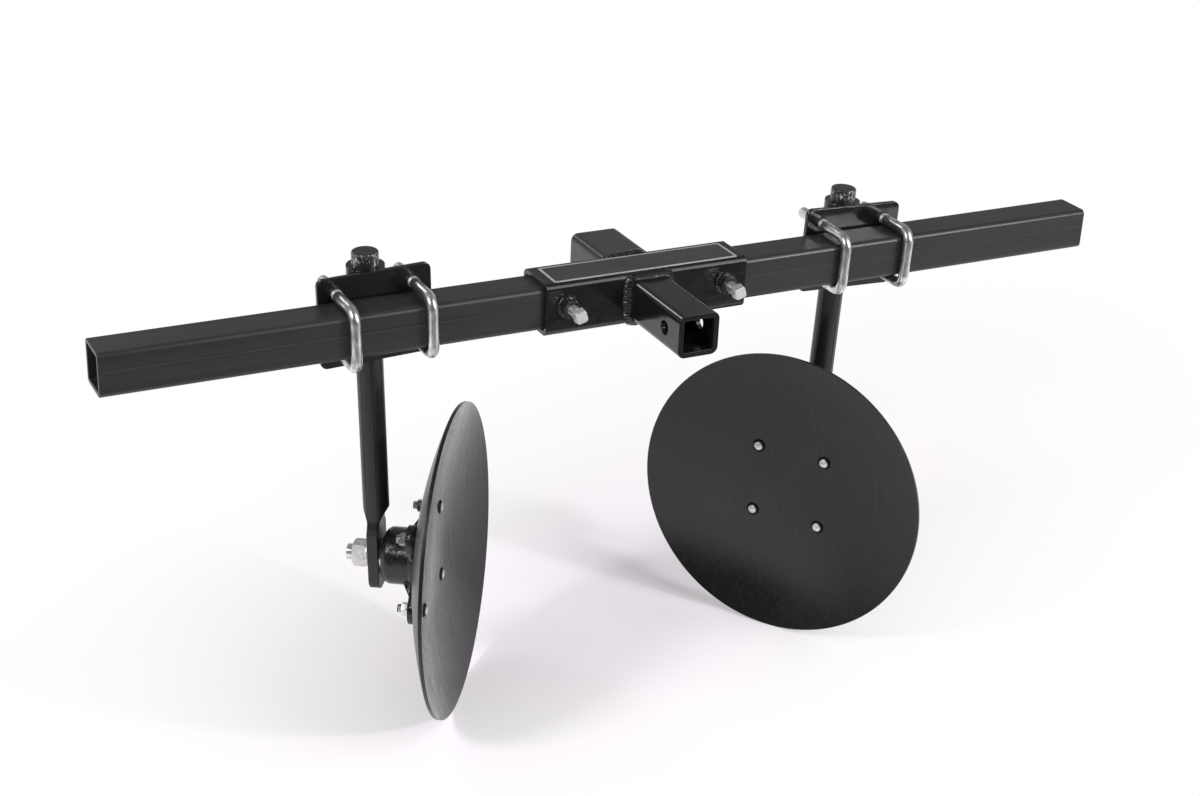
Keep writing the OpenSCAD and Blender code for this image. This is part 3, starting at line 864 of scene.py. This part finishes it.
def spindle_thread(side):
    """Thread on a spindle's tail, behind its nut."""
    points = spindle_points(side, "spindle")
    tail = min(p.z for p in points)
    nut = min(p.z for p in spindle_points(side, "spindle_nut"))
    radius = max(off_axis(p) for p in points if p.z < nut)
    start = SPINDLE[side] @ Vector((0, 0, nut))
    end = SPINDLE[side] @ Vector((0, 0, tail + SPINDLE_END))
    thread(side + "_spindle_thread", start, end, radius, SPINDLE_PITCH, side + "_shank")


def bolt_by_bolt(points):
    """Points sorted into one list for each bolt that they belong to."""
    bolts = []
    while points:
        first = points[0]
        one = [p for p in points if math.hypot(p.x - first.x, p.y - first.y) < BOLT_REACH]
        points = [p for p in points if p not in one]
        bolts.append(one)
    return bolts


def disc_bolt_threads(side):
    """Threads on the tails of a disc's four bolts, behind their nuts."""
    points = spindle_points(side, "disc_bolts")
    tail = min(p.z for p in points)
    nut = min(p.z for p in spindle_points(side, "disc_nuts"))
    for count, bolt in enumerate(bolt_by_bolt([p for p in points if p.z < nut]), 1):
        x = (min(p.x for p in bolt) + max(p.x for p in bolt)) / 2
        y = (min(p.y for p in bolt) + max(p.y for p in bolt)) / 2
        radius = max(math.hypot(p.x - x, p.y - y) for p in bolt)
        start = SPINDLE[side] @ Vector((x, y, nut))
        end = SPINDLE[side] @ Vector((x, y, tail + DISC_BOLT_END))
        thread(f"{side}_disc_bolt_thread_{count}", start, end, radius, DISC_BOLT_PITCH, side + "_disc")


for s in SIDES:
    u_bolt_threads(s)
set_bolt_threads()
for s in SIDES:
    spindle_thread(s)
    disc_bolt_threads(s)


# ---------------------------------------------------------------- name plate

PLATE_WIDTH = 47 * MM
# Bare steel of the sleeve at both ends of the plate together, and the silver border at both sides together
PLATE_MARGIN = 22 * MM
PLATE_BORDER = 6.4 * MM
# How far the plate lies to the right of the sleeve's middle and in front of the toolbar's
PLATE_RIGHT = 1 * MM
PLATE_FORWARD = 2.5 * MM
BORDER_CORNER = 2.5 * MM
FACE_CORNER = 1.2 * MM
# Underside and top of the border and of the face, from the sleeve's top
BORDER_HEIGHTS = (-0.05 * MM, 0.35 * MM)
FACE_HEIGHTS = (0.2 * MM, 0.55 * MM)


def rounded_outline(w, h, r):
    """Points round a rectangle with rounded corners."""
    corner_steps = 6
    points = []
    for x, y, turn in ((1, 1, 0), (-1, 1, 90), (-1, -1, 180), (1, -1, 270)):
        for degrees in evenly(turn, turn + 90, corner_steps):
            a = math.radians(degrees)
            points.append((x * (w / 2 - r) + r * math.cos(a), y * (h / 2 - r) + r * math.sin(a)))
    return points


def slab(name, w, h, r, z0, z1, centre, finish):
    """Thin plate with a softened rim, flat on the sleeve's top."""
    inset = min(0.25 * MM, (z1 - z0) * 0.8)
    rings = [(0, z0), (0, z1 - inset * 0.6), (inset * 0.4, z1 - inset * 0.15), (inset, z1)]
    outlines = [rounded_outline(w - 2 * off, h - 2 * off, r - off * 0.5) for off, z in rings]
    verts = [
        (centre[0] + x, centre[1] + y, z) for (off, z), outline in zip(rings, outlines) for x, y in outline
    ]
    n = len(outlines[0])
    faces = grid_faces(len(rings), n, False, True)
    faces.append(tuple(range((len(rings) - 1) * n, len(rings) * n)))
    faces.append(tuple(reversed(range(n))))
    mesh_piece(name, verts, faces, "frame", finish, smooth=False)


def name_plate():
    """Blank dark plate with a silver border, a little off the middle of the sleeve's top."""
    top = SLEEVE_HI.z
    length = (SLEEVE_HI.x - SLEEVE_LO.x) - PLATE_MARGIN
    centre = (SLEEVE_LO.x / 2 + SLEEVE_HI.x / 2 + PLATE_RIGHT, BAR_MID.y - PLATE_FORWARD)
    slab("name_plate_border", length, PLATE_WIDTH, BORDER_CORNER, *(top + z for z in BORDER_HEIGHTS),
         centre, "plate_edge")
    slab("name_plate_face", length - PLATE_BORDER, PLATE_WIDTH - PLATE_BORDER, FACE_CORNER,
         *(top + z for z in FACE_HEIGHTS), centre, "plate_face")


name_plate()


# ---------------------------------------------------------------- tube seam

# Section of the toolbar's weld seam, in mm: place up its front face, and how far it stands out there.
# All of it is sunk a little, and its height wanders by a share of itself
SEAM_SECTION = [(-1.7, 0.02), (-1.1, 0.16), (-0.3, 0.24), (0.4, 0.20), (1.0, 0.10), (1.6, 0.02)]
SEAM_SINK = 0.03
SEAM_WANDER = 0.12
SEAM_RISE = 5 * MM
SEAM_END = 0.8 * MM
SEAM_STEPS = 260


def tube_seam():
    """The toolbar's long weld seam: a low flat ridge on its front face."""
    z = BAR_MID.z + SEAM_RISE
    rng = random.Random(5)
    drift = [rng.uniform(-1, 1) for _ in range(SEAM_STEPS + 1)]
    verts = []
    for x, wander in zip(evenly(BAR_LO.x + SEAM_END, BAR_HI.x - SEAM_END, SEAM_STEPS), drift):
        for up, out in SEAM_SECTION:
            proud = (out * (1 + SEAM_WANDER * wander) - SEAM_SINK) * MM
            verts.append((x, BAR_LO.y - proud, z + up * MM))
    faces = grid_faces(SEAM_STEPS + 1, len(SEAM_SECTION), False, False)
    mesh_piece("toolbar_seam", verts, faces, "frame", "tube")


tube_seam()


# ---------------------------------------------------------------- camera

# Fitted to the outlines in the photograph: lens in mm, place from the toolbar's middle in metres, and the
# yaw, pitch and roll that turned() takes
CAMERA_LENS = 61.19
CAMERA_SHIFT = (-0.00375, 0.00349)
CAMERA_PLACE = (-1.054405, -1.948638, 0.885384)
CAMERA_TURN = (27.635, 25.048, -2.619)


def turned(yaw, pitch, roll):
    """Camera axes: yaw from +Y towards +X, pitch below the horizon, roll about the view, in degrees."""
    yaw, pitch, roll = (math.radians(a) for a in (yaw, pitch, roll))
    ahead = Vector((math.sin(yaw) * math.cos(pitch), math.cos(yaw) * math.cos(pitch), -math.sin(pitch)))
    right = Vector((math.cos(yaw), -math.sin(yaw), 0))
    down = ahead.cross(right)
    across = right * math.cos(roll) + down * math.sin(roll)
    under = -right * math.sin(roll) + down * math.cos(roll)
    return across, -under, -ahead


def make_camera():
    data = bpy.data.cameras.new("camera")
    data.sensor_width = 36.0
    data.lens = CAMERA_LENS
    data.shift_x, data.shift_y = CAMERA_SHIFT
    data.clip_start, data.clip_end = 0.05, 60
    camera = bpy.data.objects.new("camera", data)
    camera.matrix_world = basis(BAR_MID + Vector(CAMERA_PLACE), *turned(*CAMERA_TURN))
    bpy.context.scene.collection.objects.link(camera)
    bpy.context.scene.camera = camera


# ---------------------------------------------------------------- floor, world and lights

# From the part towards the camera, along the floor
FRONT = (-0.2, -0.98, 0)
# Brightness of the studio: on every surface, and in reflections of the floor ahead, the wall behind the
# part, the ceiling and the wall ahead
AMBIENT = 0.52
FLOOR_AHEAD = 0.15
WALL = 0.55
CEILING = 0.25
WALL_AHEAD = 0.08

FLOOR_RADIUS = 2.2
FLOOR_TINTS = ((0.975, 0.925, 0.985, 1), (0.985, 0.937, 0.990, 1))
FLOOR_SPECKS = 30
# The oval that the part's shadows lie in: its middle from the toolbar's, its turn and its half axes
SHADOW_MIDDLE = (0.130, 0.176)
SHADOW_TURN = 0.423
SHADOW_HALVES = (1.54, 0.64)
# How white the floor is in the middle of the oval, and how far ahead of the part it dims in reflections
WHITE_IN_SHADOW = 0.06
FLOOR_DIMS = (0.72, 0.98)

# Heights and turns between which the world changes, as parts of a direction of length 1
HORIZON = (-0.05, 0.02)
WALL_TO_CEILING = (0.0, 0.30)
TURN_TO_FLOOR_AHEAD = (0.1, 0.6)
TURN_TO_WALL_AHEAD = (-0.2, 0.5)

# Height above the floor that every softbox points at
LIT_HEIGHT = 0.3
# Each softbox: azimuth and elevation in degrees, distance and side in metres, power in watts
SOFTBOXES = {
    "softbox_left": (192.5, 36, 2.6, 0.5, 26.3),
    "softbox_right": (-55.5, 38, 2.6, 1.6, 25.0),
    "spot_low": (-50.7, 22.6, 3.25, 0.25, 40.0),
    "spot_back": (112, 36, 2.6, 0.5, 4.0),
}


def floor_mesh():
    """A round floor, finer towards its middle."""
    rings, around = 24, 96
    centre = Vector((BAR_MID.x, BAR_MID.y, FLOOR_Z))
    turns = [2 * math.pi * j / around for j in range(around)]
    verts = [centre]
    for i in range(1, rings + 1):
        r = FLOOR_RADIUS * (i / rings) ** 1.3
        verts += [centre + Vector((math.cos(a), math.sin(a), 0)) * r for a in turns]
    faces = [(0, 1 + j, 1 + (j + 1) % around) for j in range(around)]
    for i in range(rings - 1):
        for j in range(around):
            a, b = 1 + i * around + j, 1 + i * around + (j + 1) % around
            faces.append((a, a + around, b + around, b))
    mesh = bpy.data.meshes.new("floor")
    mesh.from_pydata([tuple(v) for v in verts], [], faces)
    return mesh


def floor_finish():
    """Pale matt floor. The camera and reflections see it turn white away from the part's shadows."""
    mat = bpy.data.materials.new("floor")
    t = NodeTree(mat)
    place = t.node("TexCoord").outputs["Object"]
    path = t.node("LightPath").outputs
    speck = t.node("TexNoise")
    speck.inputs["Scale"].default_value = FLOOR_SPECKS
    t.feed(speck.inputs["Vector"], place)
    matt = t.feed_all(t.node("BsdfDiffuse"), t.mix("RGBA", speck.outputs[0], *FLOOR_TINTS)).outputs[0]
    white, dim = t.node("Emission"), t.node("Emission")
    white.inputs["Strength"].default_value = 1.0
    dim.inputs["Strength"].default_value = FLOOR_AHEAD

    # White grows with the distance from the middle of the oval
    oval = t.node("Mapping", vector_type="TEXTURE")
    oval.inputs["Location"].default_value = (
        BAR_MID.x + SHADOW_MIDDLE[0], BAR_MID.y + SHADOW_MIDDLE[1], FLOOR_Z)
    oval.inputs["Rotation"].default_value = (0, 0, SHADOW_TURN)
    oval.inputs["Scale"].default_value = (*SHADOW_HALVES, 1)
    t.feed(oval.inputs["Vector"], place)
    away = t.vector("LENGTH", oval.outputs[0]).outputs["Value"]
    reflected = t.calc("MAXIMUM", path["Is Glossy Ray"], path["Is Transmission Ray"])
    seen = t.calc("MAXIMUM", path["Is Camera Ray"], reflected)
    whiteness = t.calc("MULTIPLY", t.ramp(away, 0, 1, WHITE_IN_SHADOW, 1.0), seen)
    pale = t.mix_shader(whiteness, matt, white.outputs[0])

    # The pale floor ends a metre in front of the part, where only its reflections reach
    ahead = t.vector("DOT_PRODUCT", place, FRONT).outputs["Value"]
    start = BAR_MID.dot(Vector(FRONT))
    beyond = t.ramp(ahead, *(start + reach for reach in FLOOR_DIMS))
    surface = t.mix_shader(t.calc("MULTIPLY", beyond, path["Is Glossy Ray"]), pale, dim.outputs[0])
    t.feed(t.node("OutputMaterial").inputs["Surface"], surface)
    return mat


def make_floor():
    floor = bpy.data.objects.new("floor", floor_mesh())
    bpy.context.scene.collection.objects.link(floor)
    floor.data.materials.append(floor_finish())


def make_world():
    """White round the floor, with a grey studio above and behind the camera for reflections."""
    world = bpy.data.worlds.new("studio")
    bpy.context.scene.world = world
    t = NodeTree(world)
    direction = t.node("TexCoord").outputs["Generated"]
    path = t.node("LightPath").outputs
    up = t.split(direction)["Z"]
    ahead = t.vector("DOT_PRODUCT", direction, FRONT).outputs["Value"]
    # Below the horizon it is white but for the front; above it the wall darkens to the ceiling
    below = t.mix("FLOAT", t.ramp(ahead, *TURN_TO_FLOOR_AHEAD), 1.0, FLOOR_AHEAD)
    back = t.ramp(up, *WALL_TO_CEILING, WALL, CEILING)
    above = t.mix("FLOAT", t.ramp(ahead, *TURN_TO_WALL_AHEAD), back, WALL_AHEAD)
    studio = t.mix("FLOAT", t.ramp(up, *HORIZON), below, above)
    reflected = t.calc("MAXIMUM", path["Is Glossy Ray"], path["Is Transmission Ray"])
    level = t.mix("FLOAT", reflected, AMBIENT, studio)
    background = t.node("Background")
    background.inputs["Color"].default_value = (1, 1, 1, 1)
    t.feed(background.inputs["Strength"], t.mix("FLOAT", path["Is Camera Ray"], level, 1.0))
    t.feed(t.node("OutputWorld").inputs["Surface"], background.outputs[0])


def softbox(name, azimuth, elevation, distance, side, watts):
    """A square softbox that faces the part. Azimuth is from +X towards +Y."""
    a, e = math.radians(azimuth), math.radians(elevation)
    target = Vector((BAR_MID.x, BAR_MID.y, FLOOR_Z + LIT_HEIGHT))
    away = Vector((math.cos(a) * math.cos(e), math.sin(a) * math.cos(e), math.sin(e)))
    data = bpy.data.lights.new(name, "AREA")
    data.shape = "RECTANGLE"
    data.size, data.size_y = side, side
    data.energy = watts
    lamp = bpy.data.objects.new(name, data)
    lamp.location = target + away * distance
    lamp.rotation_mode = "QUATERNION"
    lamp.rotation_quaternion = away.to_track_quat("Z", "Y")
    lamp.visible_camera = False
    bpy.context.scene.collection.objects.link(lamp)


bpy.context.scene.view_settings.view_transform = "Standard"
make_camera()
make_floor()
make_world()
for name, numbers in SOFTBOXES.items():
    softbox(name, *numbers)
